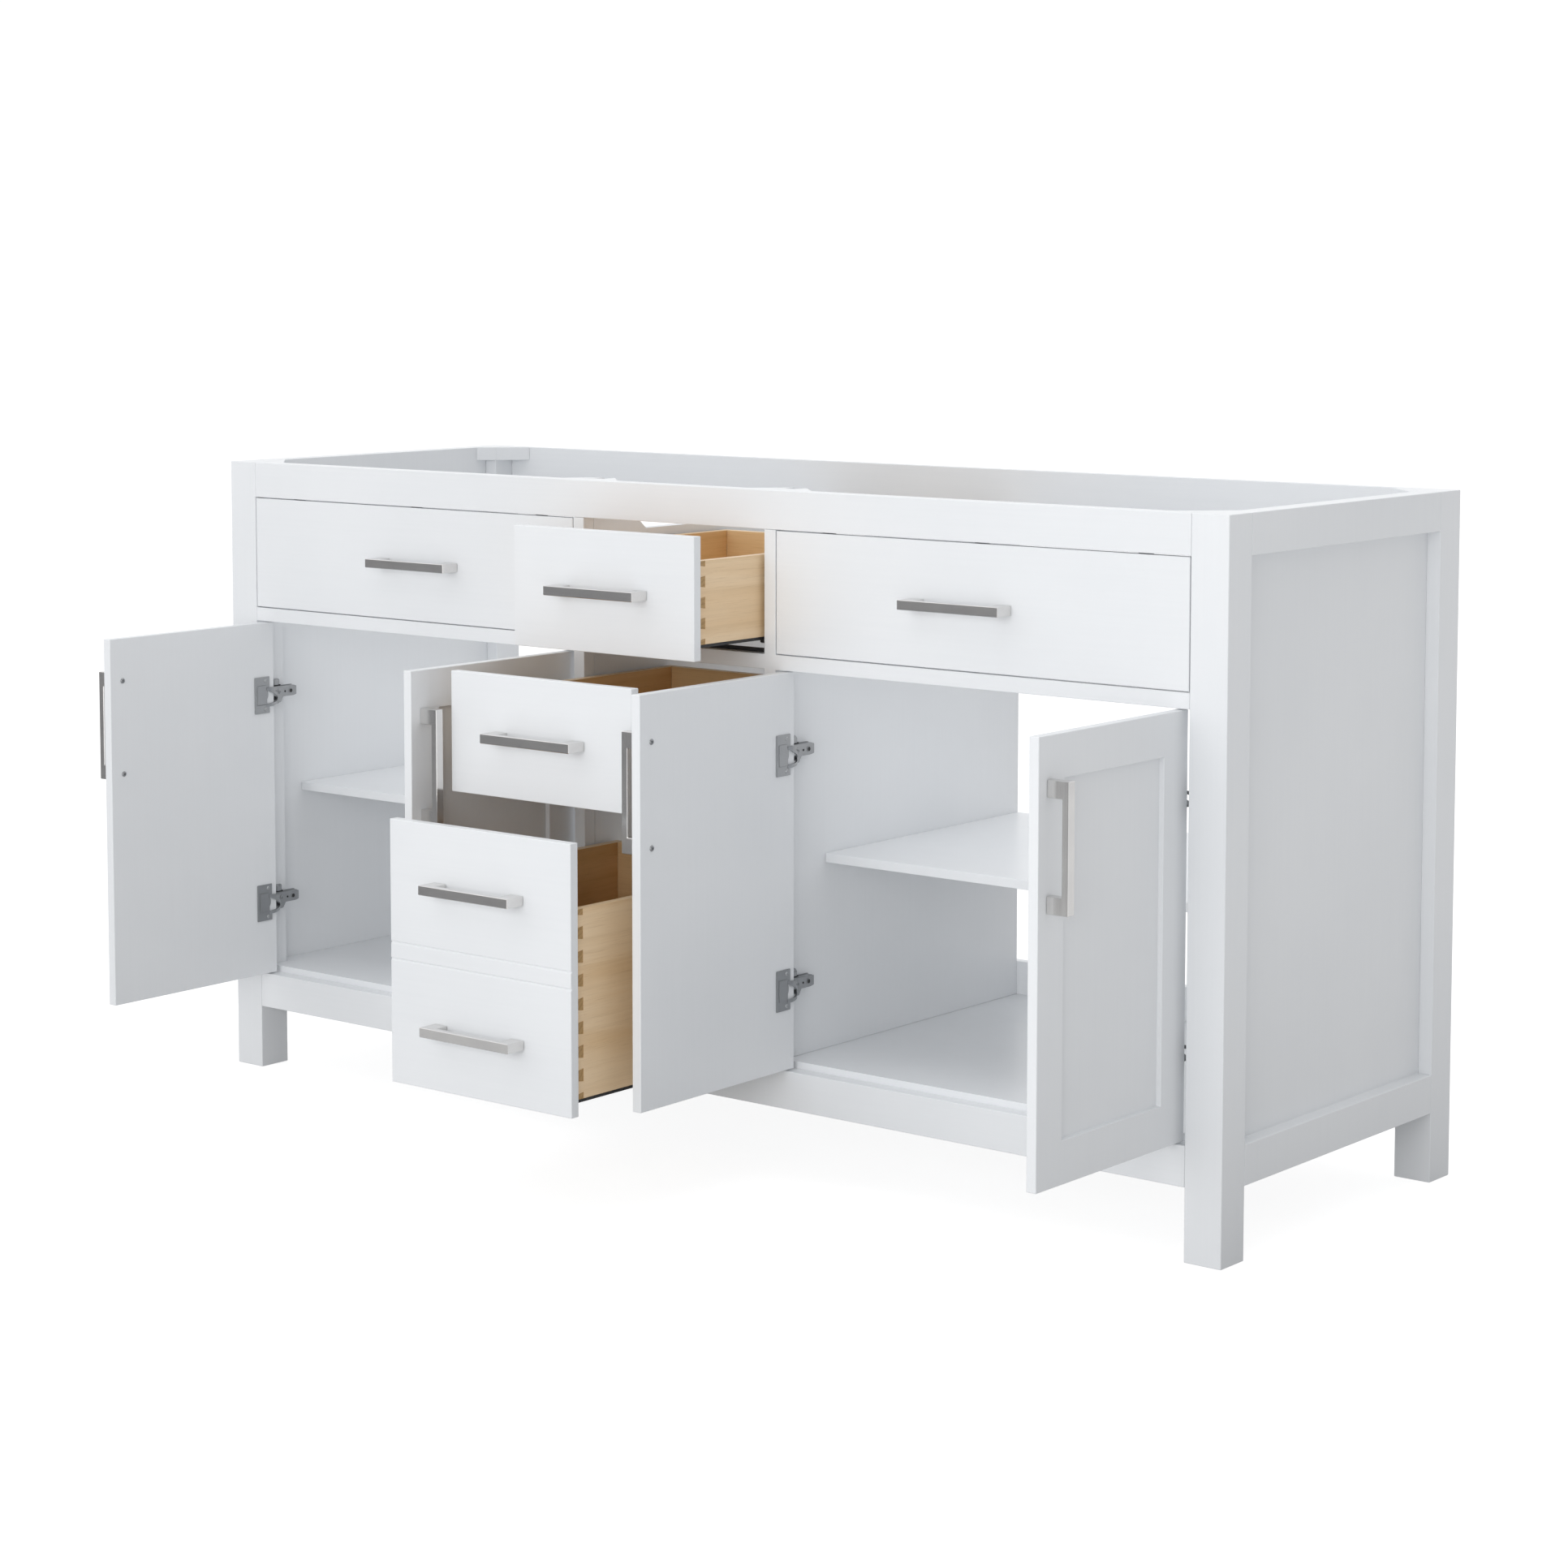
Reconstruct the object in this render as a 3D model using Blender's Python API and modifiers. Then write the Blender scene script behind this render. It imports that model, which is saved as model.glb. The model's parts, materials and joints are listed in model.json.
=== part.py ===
"""Bathroom vanity cabinet without its worktop: an open-backed carcass on four square legs, with a sink
bay and a pair of inset doors on each side and a bank of three drawers between them.

Metres, +Z up, the front faces -Y and the floor is z = 0. The doors stand open and the drawers are
partly pulled out, so the origin is at the middle of that whole outline, on the floor. Each door and
drawer is built shut, under an empty on its joint, and the empty then opens it.
"""

import math

import bmesh
import bpy
from mathutils import Vector

# Overall sizes of the carcass
WIDTH = 1.651
DEPTH = 0.546
HEIGHT = 0.870

# Boards
FIT = 0.0003  # clearance left between pieces that touch
EDGE = 0.0006  # chamfer along a lacquered edge
POST = 0.050  # side of a square leg post
RAIL = 0.049  # height of the top and bottom rails
FRAME_T = 0.020  # thickness of the front rails and stiles
CLEARANCE = 0.0885  # height of the open space below the rails
MID_RAIL = 0.019
MID_RAIL_Z = 0.645  # underside of the rail between false fronts and doors
DRAWER_RAIL_Z = 0.4715
DRAWER_RAIL = 0.018
PARTITION_T = 0.018
CENTRE_HALF = 0.1515  # half the clear width of the drawer bank
PANEL_T = 0.012
SIDE_RECESS = 0.018  # the side panel sits this far inside its rails
REAR_T = 0.014
REAR_TOP_H = 0.100
REAR_BOTTOM_H = 0.104
FLOOR_TOP = 0.1465
SHELF_TOP = 0.400
SHELF_FRONT = 0.102
PARTITION_CUT_Z = 0.800  # the partitions are cut down to here to clear the basins
PARTITION_CUT_Y = 0.125
PARTITION_HEAD_Y = 0.040

# Doors and fronts
GAP = 0.0015  # reveal around an inset door or drawer front
FRONT_T = 0.013
STILE = 0.050  # width of a door's raised border
PANEL_SINK = 0.006
HINGE_IN = 0.0090  # the swing axis, in from the door's hinged edge
HINGE_BACK = 0.0020  # the swing axis, behind the door's face
OUTER_OPEN = 90.0
INNER_OPEN = 89.0

# Concealed hinges
HINGE_END = 0.1030  # hinge centre to the door's end
CUP_IN = 0.0225  # cup centre to the door's hinged edge
CUP_R = 0.0116
CUP_DEPTH = 0.0098
BORE_R = 0.0120
BORE_DEPTH = 0.0104
FLANGE = (0.024, 0.0016, 0.056)
ARM_Y = (0.0185, 0.0660)
ARM_X = (0.0030, 0.0130)
ARM_H = 0.0140
WING_Y = (0.0270, 0.0430)
WING_H = 0.0340
WING_T = 0.0040
ROUND_SIDES = 24

# Drawers
DRAWER_NAMES = ("top", "middle", "bottom")
PULLED_OUT = {"top": 0.1345, "middle": 0.2515, "bottom": 0.3620}
BOX_HALF = 0.1465
BOX_LENGTH = 0.4064
BOX_WALL = 0.012
BOX_LIFT = 0.0195  # underside of a box above its front's lower edge
BOX_HEADROOM = {"top": 0.031, "middle": 0.031, "bottom": 0.081}
GROOVES_Z = (0.2953, 0.3163)
GROOVE = 0.0016
SLIDE_T = 0.002
SLIDE_H = 0.0150
SLIDE_FOOT = 0.024
SLIDE_DROP = 0.011  # underside of a slide below the box it carries
SLIDE_LENGTH = 0.406
SLIDE_START = 0.022

# Handles
HANDLE_LENGTH = 0.148
HANDLE_REACH = 0.029
HANDLE_BAR = 0.012
HANDLE_BAR_T = 0.009
HANDLE_FOOT = 0.020
HANDLE_EDGE = 0.0007
DOOR_HANDLE_IN = 0.0215  # handle centre to the door's free edge
DOOR_HANDLE_Z = 0.5216
FALSE_HANDLE_X = 0.4536

# What follows from them
HALF = WIDTH / 2
REACH = PULLED_OUT["bottom"] + HANDLE_REACH
FRONT = (REACH - DEPTH) / 2  # y of the carcass's front face
POST_IN = HALF - POST
BAY_IN = CENTRE_HALF + PARTITION_T
TOP_RAIL_Z = HEIGHT - RAIL
BOTTOM_RAIL_TOP = CLEARANCE + RAIL
PANEL_OUT = HALF - SIDE_RECESS
PANEL_IN = PANEL_OUT - PANEL_T
REAR_IN = DEPTH - REAR_T
DOOR_W = (POST_IN - BAY_IN - 3 * GAP) / 2
DOOR_Z = (BOTTOM_RAIL_TOP + 0.0025, MID_RAIL_Z - GAP)
FALSE_Z = (MID_RAIL_Z + MID_RAIL + GAP, TOP_RAIL_Z - GAP)
DRAWER_Z = {
    "top": FALSE_Z,
    "middle": (DRAWER_RAIL_Z + DRAWER_RAIL + GAP, MID_RAIL_Z - GAP),
    "bottom": (BOTTOM_RAIL_TOP + 0.0025, DRAWER_RAIL_Z - GAP),
}


def clear_scene():
    for obj in list(bpy.data.objects):
        bpy.data.objects.remove(obj, do_unlink=True)


def collection(name):
    made = bpy.data.collections.new(name)
    bpy.context.scene.collection.children.link(made)
    return made


def material(name, colour, roughness, metallic=0.0):
    made = bpy.data.materials.new(name)
    made.use_nodes = True
    shader = made.node_tree.nodes["Principled BSDF"]
    shader.inputs["Base Color"].default_value = (*colour, 1.0)
    shader.inputs["Roughness"].default_value = roughness
    shader.inputs["Metallic"].default_value = metallic
    return made


clear_scene()
PARTS = collection("bathroom_vanity_cabinet")
CUTTERS = collection("cutters")
LACQUER = material("white_lacquer", (0.80, 0.82, 0.84), 0.35)
BIRCH = material("birch", (0.68, 0.48, 0.28), 0.50)
NICKEL = material("brushed_nickel", (0.62, 0.60, 0.58), 0.28, 1.0)
HINGE_STEEL = material("hinge_steel", (0.45, 0.46, 0.47), 0.35, 1.0)
SLIDE_STEEL = material("slide_steel", (0.05, 0.05, 0.055), 0.45, 0.6)


def link(name, mesh, finish, where=PARTS, parent=None):
    obj = bpy.data.objects.new(name, mesh)
    where.objects.link(obj)
    if finish:
        mesh.materials.append(finish)
    obj.parent = parent
    return obj


def block_mesh(name, size):
    """A box of this size about its own middle."""
    mesh = bpy.data.meshes.new(name)
    shape = bmesh.new()
    bmesh.ops.create_cube(shape, size=1.0)
    bmesh.ops.scale(shape, vec=size, verts=shape.verts)
    shape.to_mesh(mesh)
    shape.free()
    return mesh


def block(name, low, high, finish=LACQUER, parent=None, edge=EDGE, where=PARTS):
    """A box between two corners, given with y counted back from the carcass's front face."""
    low = Vector(low)
    high = Vector(high)
    obj = link(name, block_mesh(name, high - low), finish, where, parent)
    obj.location = (low + high) / 2
    if parent is None:
        obj.location.y += FRONT
    if edge:
        chamfer(obj, edge)
    return obj


def chamfer(obj, width):
    edge = obj.modifiers.new("edge", "BEVEL")
    edge.width = width
    edge.segments = 1
    edge.limit_method = "ANGLE"


def boolean(obj, other, operation):
    step = obj.modifiers.new(operation.lower(), "BOOLEAN")
    step.operation = operation
    step.object = other
    return step


def hide(obj):
    obj.hide_render = True
    obj.display_type = "WIRE"


def helper(name, low, high, parent=None):
    """A box used only to cut or to join another piece."""
    obj = block(name, low, high, None, parent, 0, CUTTERS)
    hide(obj)
    return obj


def outline(name, points, thickness, finish=LACQUER):
    """A flat board of this outline in its own X-Y plane, centred on its thickness, as a mesh."""
    curve = bpy.data.curves.new(name, "CURVE")
    curve.dimensions = "2D"
    curve.fill_mode = "BOTH"
    curve.extrude = thickness / 2
    spline = curve.splines.new("POLY")
    spline.points.add(len(points) - 1)
    for point, (x, y) in zip(spline.points, points):
        point.co = (x, y, 0, 1)
    spline.use_cyclic_u = True
    flat = bpy.data.objects.new(name + "_outline", curve)
    CUTTERS.objects.link(flat)
    bpy.context.view_layer.update()
    graph = bpy.context.evaluated_depsgraph_get()
    mesh = bpy.data.meshes.new_from_object(flat.evaluated_get(graph))
    bpy.data.objects.remove(flat)
    shape = bmesh.new()
    shape.from_mesh(mesh)
    bmesh.ops.remove_doubles(shape, verts=shape.verts, dist=1e-6)
    bmesh.ops.recalc_face_normals(shape, faces=shape.faces)
    bmesh.ops.dissolve_limit(shape, angle_limit=0.01, verts=shape.verts, edges=shape.edges)
    shape.to_mesh(mesh)
    shape.free()
    mesh.materials.clear()
    return link(name, mesh, finish)


def build_posts():
    for side, sign in (("left", -1), ("right", 1)):
        x = sorted((sign * HALF, sign * POST_IN))
        block(f"post_front_{side}", (x[0], 0, 0), (x[1], POST, HEIGHT))
        block(f"post_rear_{side}", (x[0], DEPTH - POST, 0), (x[1], DEPTH, HEIGHT))


def build_sides():
    """Each end is one glued frame: a top and a bottom rail with a thin panel set in from their faces."""
    for side, sign in (("left", -1), ("right", 1)):
        y = (POST + FIT, DEPTH - POST - FIT)
        x = sorted((sign * HALF, sign * PANEL_IN))
        end = block(f"side_{side}", (x[0], y[0], CLEARANCE), (x[1], y[1], HEIGHT), edge=0)
        cut = sorted((sign * (HALF + SIDE_RECESS), sign * PANEL_OUT))
        recess = helper(
            f"side_{side}_recess",
            (cut[0], y[0] - POST, BOTTOM_RAIL_TOP),
            (cut[1], y[1] + POST, TOP_RAIL_Z),
        )
        boolean(end, recess, "DIFFERENCE")
        chamfer(end, EDGE)


def build_front():
    """The rails across the front, and the glued frame of stiles and rails round the drawers."""
    ends = POST_IN - FIT
    block("front_top_rail", (-ends, 0, TOP_RAIL_Z), (ends, FRAME_T, HEIGHT))
    block("front_bottom_rail", (-ends, 0, CLEARANCE), (ends, FRAME_T, BOTTOM_RAIL_TOP))
    low = BOTTOM_RAIL_TOP + FIT
    high = TOP_RAIL_Z - FIT
    frame = block("front_frame", (-BAY_IN, 0, low), (BAY_IN, FRAME_T, high), edge=0)
    crosspiece = helper(
        "mid_rail", (-ends, 0, MID_RAIL_Z), (ends, FRAME_T, MID_RAIL_Z + MID_RAIL)
    )
    boolean(frame, crosspiece, "UNION")
    openings = (
        ("top_opening", MID_RAIL_Z + MID_RAIL, high + RAIL),
        ("middle_opening", DRAWER_RAIL_Z + DRAWER_RAIL, MID_RAIL_Z),
        ("bottom_opening", low - RAIL, DRAWER_RAIL_Z),
    )
    for name, z0, z1 in openings:
        hole = helper(name, (-CENTRE_HALF, -FRAME_T, z0), (CENTRE_HALF, 2 * FRAME_T, z1))
        boolean(frame, hole, "DIFFERENCE")
    chamfer(frame, EDGE)


def build_rear():
    ends = POST_IN - FIT
    block("rear_top_rail", (-ends, REAR_IN, HEIGHT - REAR_TOP_H), (ends, DEPTH, HEIGHT))
    block(
        "rear_bottom_rail", (-ends, REAR_IN, CLEARANCE), (ends, DEPTH, CLEARANCE + REAR_BOTTOM_H)
    )


def build_floor():
    """One board over the whole width, notched round the four posts."""
    x = PANEL_IN - FIT
    notch_x = POST_IN - FIT
    y = (FRAME_T + FIT, REAR_IN - FIT)
    notch_y = (POST + FIT, DEPTH - POST - FIT)
    right = [
        (notch_x, y[0]),
        (notch_x, notch_y[0]),
        (x, notch_y[0]),
        (x, notch_y[1]),
        (notch_x, notch_y[1]),
        (notch_x, y[1]),
    ]
    left = [(-px, py) for px, py in reversed(right)]
    floor = outline("floor_panel", right + left, PANEL_T)
    floor.location = (0, FRONT, FLOOR_TOP - PANEL_T / 2)


def build_shelves():
    """Each shelf runs back from SHELF_FRONT and is notched round its rear post."""
    out = PANEL_IN - FIT
    post = POST_IN - FIT
    inner = BAY_IN + FIT
    back = REAR_IN - FIT
    notch = DEPTH - POST - FIT
    points = [
        (inner, SHELF_FRONT),
        (out, SHELF_FRONT),
        (out, notch),
        (post, notch),
        (post, back),
        (inner, back),
    ]
    for side, sign in (("left", -1), ("right", 1)):
        shelf = outline(f"shelf_{side}", [(sign * x, y) for x, y in points], PANEL_T)
        shelf.location = (0, FRONT, SHELF_TOP - PANEL_T / 2)
        chamfer(shelf, EDGE)


def build_partitions():
    """The boards on each side of the drawers, cut down behind the front so that the basins clear them."""
    top = HEIGHT - FIT
    low = FLOOR_TOP + FIT
    front = FRAME_T + FIT
    back = REAR_IN - FIT
    points = [
        (front, low),
        (back, low),
        (back, PARTITION_CUT_Z),
        (PARTITION_CUT_Y, PARTITION_CUT_Z),
        (PARTITION_HEAD_Y, top),
        (front, top),
    ]
    for side, sign in (("left", -1), ("right", 1)):
        board = outline(f"partition_{side}", points, PARTITION_T)
        board.rotation_euler = (math.pi / 2, 0, math.pi / 2)
        board.location = (sign * (CENTRE_HALF + PARTITION_T / 2), FRONT, 0)


def build_handle(name, parent, place, upright):
    """A flat bar on two square feet, its feet on the X-Z plane through place and its bar towards -Y."""
    half = HANDLE_LENGTH / 2
    foot = half - HANDLE_FOOT
    bar = HANDLE_REACH - HANDLE_BAR_T
    points = [
        (-half, FIT),
        (-half, HANDLE_REACH),
        (half, HANDLE_REACH),
        (half, FIT),
        (foot, FIT),
        (foot, bar),
        (-foot, bar),
        (-foot, FIT),
    ]
    handle = outline(name, points, HANDLE_BAR, NICKEL)
    handle.parent = parent
    # The outline's Y points out of the front, so it is turned to -Y, lying along X or standing along Z.
    handle.rotation_euler = (0, math.pi / 2, math.pi) if upright else (0, 0, math.pi)
    handle.location = place
    if parent is None:
        handle.location.y += FRONT
    chamfer(handle, HANDLE_EDGE)
    return handle


def build_false_fronts():
    for side, sign in (("left", -1), ("right", 1)):
        x = sorted((sign * (BAY_IN + GAP), sign * (POST_IN - GAP)))
        block(f"false_front_{side}", (x[0], 0, FALSE_Z[0]), (x[1], FRONT_T, FALSE_Z[1]))
        middle = (sign * FALSE_HANDLE_X, 0, sum(FALSE_Z) / 2)
        build_handle(f"handle_false_front_{side}", None, middle, upright=False)


def cylinder(name, radius, y0, y1, place, parent):
    """A round plug along Y from y0 to y1, used to cut or to join another piece."""
    mesh = bpy.data.meshes.new(name)
    shape = bmesh.new()
    bmesh.ops.create_cone(
        shape,
        cap_ends=True,
        segments=ROUND_SIDES,
        radius1=radius,
        radius2=radius,
        depth=y1 - y0,
    )
    shape.to_mesh(mesh)
    shape.free()
    obj = link(name, mesh, None, CUTTERS, parent)
    obj.rotation_euler = (math.pi / 2, 0, 0)
    obj.location = (place[0], (y0 + y1) / 2, place[1])
    hide(obj)
    return obj


def build_hinge(name, door, door_axis, sign, wall_x, z):
    """Two pieces: the cup, sunk in the door's inner face, and the arm on its plate on the cabinet wall."""
    cup_x = sign * (CUP_IN - HINGE_IN)
    face = FRONT_T - HINGE_BACK  # the door's inner face, seen from its axis
    bore = cylinder(
        f"{name}_bore", BORE_R, face - BORE_DEPTH, face + BORE_DEPTH, (cup_x, z), door_axis
    )
    boolean(door, bore, "DIFFERENCE")
    flange_y = face + FIT
    cup = block(
        f"{name}_cup",
        (cup_x - FLANGE[0] / 2, flange_y, z - FLANGE[2] / 2),
        (cup_x + FLANGE[0] / 2, flange_y + FLANGE[1], z + FLANGE[2] / 2),
        HINGE_STEEL,
        door_axis,
        0,
    )
    body = cylinder(
        f"{name}_body", CUP_R, face - CUP_DEPTH, flange_y + FLANGE[1] / 2, (cup_x, z), door_axis
    )
    boolean(cup, body, "UNION")
    arm_x = sorted(wall_x + sign * (FIT + step) for step in ARM_X)
    arm = block(
        f"{name}_arm",
        (arm_x[0], ARM_Y[0], z - ARM_H / 2),
        (arm_x[1], ARM_Y[1], z + ARM_H / 2),
        HINGE_STEEL,
        None,
        0,
    )
    wing_x = sorted(wall_x + sign * (FIT + step) for step in (0, WING_T))
    wing = helper(
        f"{name}_wing",
        (wing_x[0], WING_Y[0], z - WING_H / 2),
        (wing_x[1], WING_Y[1], z + WING_H / 2),
    )
    boolean(arm, wing, "UNION")


def build_door(name, sign, wall_x, angle):
    """A door hinged on wall_x that runs towards sign * X when it is shut, opened by angle degrees."""
    axis = bpy.data.objects.new(f"{name}_axis", None)
    PARTS.objects.link(axis)
    axis.location = (wall_x + sign * (GAP + HINGE_IN), FRONT + HINGE_BACK, 0)
    axis.rotation_euler.z = -sign * math.radians(angle)
    x = sorted((-sign * HINGE_IN, sign * (DOOR_W - HINGE_IN)))
    y = (-HINGE_BACK, FRONT_T - HINGE_BACK)
    door = block(f"door_{name}", (x[0], y[0], DOOR_Z[0]), (x[1], y[1], DOOR_Z[1]), LACQUER, axis, 0)
    recess = helper(
        f"door_{name}_recess",
        (x[0] + STILE, y[0] - PANEL_SINK, DOOR_Z[0] + STILE),
        (x[1] - STILE, y[0] + PANEL_SINK, DOOR_Z[1] - STILE),
        axis,
    )
    boolean(door, recess, "DIFFERENCE")
    chamfer(door, EDGE)
    handle_x = sign * (DOOR_W - HINGE_IN - DOOR_HANDLE_IN)
    build_handle(f"handle_door_{name}", axis, Vector((handle_x, y[0], DOOR_HANDLE_Z)), upright=True)
    for place, z in (("upper", DOOR_Z[1] - HINGE_END), ("lower", DOOR_Z[0] + HINGE_END)):
        build_hinge(f"hinge_{name}_{place}", door, axis, sign, wall_x, z)


def build_drawer_box(name, parent, z):
    """A box open at the top: one block whose top face is set in by the wall and sunk to the bottom."""
    size = Vector((2 * BOX_HALF, BOX_LENGTH, z[1] - z[0]))
    mesh = block_mesh(name, size)
    shape = bmesh.new()
    shape.from_mesh(mesh)
    top = max(shape.faces, key=lambda face: face.calc_center_median().z)
    bmesh.ops.inset_region(shape, faces=[top], thickness=BOX_WALL, use_even_offset=True)
    walls = bmesh.ops.extrude_discrete_faces(shape, faces=[top])
    floor = walls["faces"][0]
    bmesh.ops.translate(shape, vec=(0, 0, BOX_WALL - size.z), verts=floor.verts)
    bmesh.ops.recalc_face_normals(shape, faces=shape.faces)
    shape.to_mesh(mesh)
    shape.free()
    box = link(name, mesh, BIRCH, PARTS, parent)
    box.location = (0, FRONT_T + FIT + BOX_LENGTH / 2, (z[0] + z[1]) / 2)
    return box


def build_slide(name, sign, z):
    """The fixed half of a concealed slide: an angle on the partition, its foot under the drawer box."""
    wall = sign * (CENTRE_HALF - FIT)
    y = (SLIDE_START, SLIDE_START + SLIDE_LENGTH)
    web_x = sorted((wall, wall - sign * SLIDE_T))
    web = block(name, (web_x[0], y[0], z), (web_x[1], y[1], z + SLIDE_H), SLIDE_STEEL, None, 0)
    foot_x = sorted((wall, wall - sign * SLIDE_FOOT))
    foot = helper(f"{name}_foot", (foot_x[0], y[0], z), (foot_x[1], y[1], z + SLIDE_T))
    boolean(web, foot, "UNION")


def build_drawer(name):
    """A box on two slides, with a flat front screwed to it."""
    low, high = DRAWER_Z[name]
    pull = bpy.data.objects.new(f"{name}_drawer_axis", None)
    PARTS.objects.link(pull)
    pull.location = (0, FRONT - PULLED_OUT[name], 0)
    half = CENTRE_HALF - GAP
    front = block(
        f"drawer_{name}_front", (-half, 0, low), (half, FRONT_T, high), LACQUER, pull, 0
    )
    if name == "bottom":
        cut_grooves(front, half, pull)
    chamfer(front, EDGE)
    build_drawer_box(
        f"drawer_{name}_box", pull, (low + BOX_LIFT, high - BOX_HEADROOM[name])
    )
    for side, sign in (("left", -1), ("right", 1)):
        build_slide(f"slide_{name}_{side}", sign, low + BOX_LIFT - SLIDE_DROP)
    if name == "bottom":
        upper = (GROOVES_Z[1] + high) / 2
        lower = (low + GROOVES_Z[0]) / 2
        build_handle("handle_drawer_bottom_upper", pull, Vector((0, 0, upper)), upright=False)
        build_handle("handle_drawer_bottom_lower", pull, Vector((0, 0, lower)), upright=False)
    else:
        build_handle(f"handle_drawer_{name}", pull, Vector((0, 0, (low + high) / 2)), upright=False)


def cut_grooves(front, half, parent):
    """Two shallow V grooves across the tall front, so that it reads as two fronts and a rail."""
    for number, z in enumerate(GROOVES_Z):
        side = GROOVE * math.sqrt(2)
        cutter = helper(
            f"groove_{number}",
            (-half - FRONT_T, -side / 2, z - side / 2),
            (half + FRONT_T, side / 2, z + side / 2),
            parent,
        )
        cutter.rotation_euler.x = math.radians(45)
        boolean(front, cutter, "DIFFERENCE")


build_posts()
build_sides()
build_front()
build_rear()
build_floor()
build_shelves()
build_partitions()
build_false_fronts()
build_door("left_outer", 1, -POST_IN, OUTER_OPEN)
build_door("left_inner", -1, -BAY_IN, INNER_OPEN)
build_door("right_inner", 1, BAY_IN, INNER_OPEN)
build_door("right_outer", -1, POST_IN, OUTER_OPEN)
for drawer_name in DRAWER_NAMES:
    build_drawer(drawer_name)
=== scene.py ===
import json
import math

import bmesh
import bpy
from mathutils import Matrix, Vector


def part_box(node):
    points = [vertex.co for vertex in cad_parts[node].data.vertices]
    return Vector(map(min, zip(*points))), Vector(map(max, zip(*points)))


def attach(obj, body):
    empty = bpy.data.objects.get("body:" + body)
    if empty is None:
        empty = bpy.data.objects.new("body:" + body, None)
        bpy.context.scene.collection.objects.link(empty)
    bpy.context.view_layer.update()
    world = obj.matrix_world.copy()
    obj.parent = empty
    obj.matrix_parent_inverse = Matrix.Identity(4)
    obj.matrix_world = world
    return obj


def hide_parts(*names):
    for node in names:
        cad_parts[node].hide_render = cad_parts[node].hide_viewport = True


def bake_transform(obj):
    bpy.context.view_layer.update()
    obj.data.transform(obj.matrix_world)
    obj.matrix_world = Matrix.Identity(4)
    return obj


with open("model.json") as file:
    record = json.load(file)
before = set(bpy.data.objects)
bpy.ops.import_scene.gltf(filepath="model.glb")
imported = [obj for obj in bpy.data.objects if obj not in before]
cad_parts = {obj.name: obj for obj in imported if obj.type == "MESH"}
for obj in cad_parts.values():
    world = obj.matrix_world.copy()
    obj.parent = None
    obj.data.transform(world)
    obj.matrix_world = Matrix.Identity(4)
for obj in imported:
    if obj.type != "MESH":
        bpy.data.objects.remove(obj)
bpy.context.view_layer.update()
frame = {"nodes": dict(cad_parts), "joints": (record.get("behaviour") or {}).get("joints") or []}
NODES = frame["nodes"]
ROOT = "cabinet"
MM = 0.001


# ---------------------------------------------------------------- materials
class Nodes:
    """A Principled material under construction."""

    def __init__(self, name):
        self.mat = bpy.data.materials.new(name)
        self.mat.use_nodes = True
        self.tree = self.mat.node_tree
        self.shader = self.tree.nodes["Principled BSDF"]
        self.coords = self.tree.nodes.new("ShaderNodeTexCoord").outputs["Object"]

    def new(self, kind, **values):
        node = self.tree.nodes.new("ShaderNode" + kind)
        for key, value in values.items():
            setattr(node, key, value)
        return node

    def link(self, a, b):
        self.tree.links.new(a, b)

    def set(self, **values):
        for key, value in values.items():
            self.shader.inputs[key.replace("_", " ")].default_value = value

    def stretched(self, scale, location=(0, 0, 0)):
        mapping = self.new("Mapping")
        mapping.inputs["Scale"].default_value = scale
        mapping.inputs["Location"].default_value = location
        self.link(self.coords, mapping.inputs["Vector"])
        return mapping.outputs["Vector"]

    def noise(self, vector, scale=1.0, detail=3.0, rough=0.5, distortion=0.0):
        node = self.new("TexNoise")
        node.inputs["Scale"].default_value = scale
        node.inputs["Detail"].default_value = detail
        node.inputs["Roughness"].default_value = rough
        node.inputs["Distortion"].default_value = distortion
        self.link(vector, node.inputs["Vector"])
        return node.outputs["Fac"]

    def ramp(self, fac, stops):
        node = self.new("ValToRGB")
        elements = node.color_ramp.elements
        while len(elements) < len(stops):
            elements.new(0.5)
        for element, (place, colour) in zip(elements, stops):
            element.position = place
            element.color = (*colour, 1.0)
        self.link(fac, node.inputs["Fac"])
        return node.outputs["Color"]

    def range(self, value, low, high, source=(0.3, 0.7)):
        node = self.new("MapRange")
        for key, number in (
            ("From Min", source[0]),
            ("From Max", source[1]),
            ("To Min", low),
            ("To Max", high),
        ):
            node.inputs[key].default_value = number
        self.link(value, node.inputs["Value"])
        return node.outputs["Result"]

    def mix(self, fac, a, b, blend="MIX"):
        node = self.new("Mix", data_type="RGBA", blend_type=blend)
        if isinstance(fac, float):
            node.inputs[0].default_value = fac
        else:
            self.link(fac, node.inputs[0])
        for socket, value in ((node.inputs[6], a), (node.inputs[7], b)):
            if isinstance(value, tuple):
                socket.default_value = (*value, 1.0)
            else:
                self.link(value, socket)
        return node.outputs[2]

    def bump(self, heights):
        """heights: (height socket, depth in metres) pairs, chained."""
        last = None
        for height, depth in heights:
            node = self.new("Bump")
            node.inputs["Strength"].default_value = 1.0
            node.inputs["Distance"].default_value = depth
            self.link(height, node.inputs["Height"])
            if last:
                self.link(last, node.inputs["Normal"])
            last = node.outputs["Normal"]
        self.link(last, self.shader.inputs["Normal"])


def along(axis, length, across):
    """Texture scale that stretches a pattern along one axis."""
    return tuple(length if i == "XYZ".index(axis) else across for i in range(3))


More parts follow.
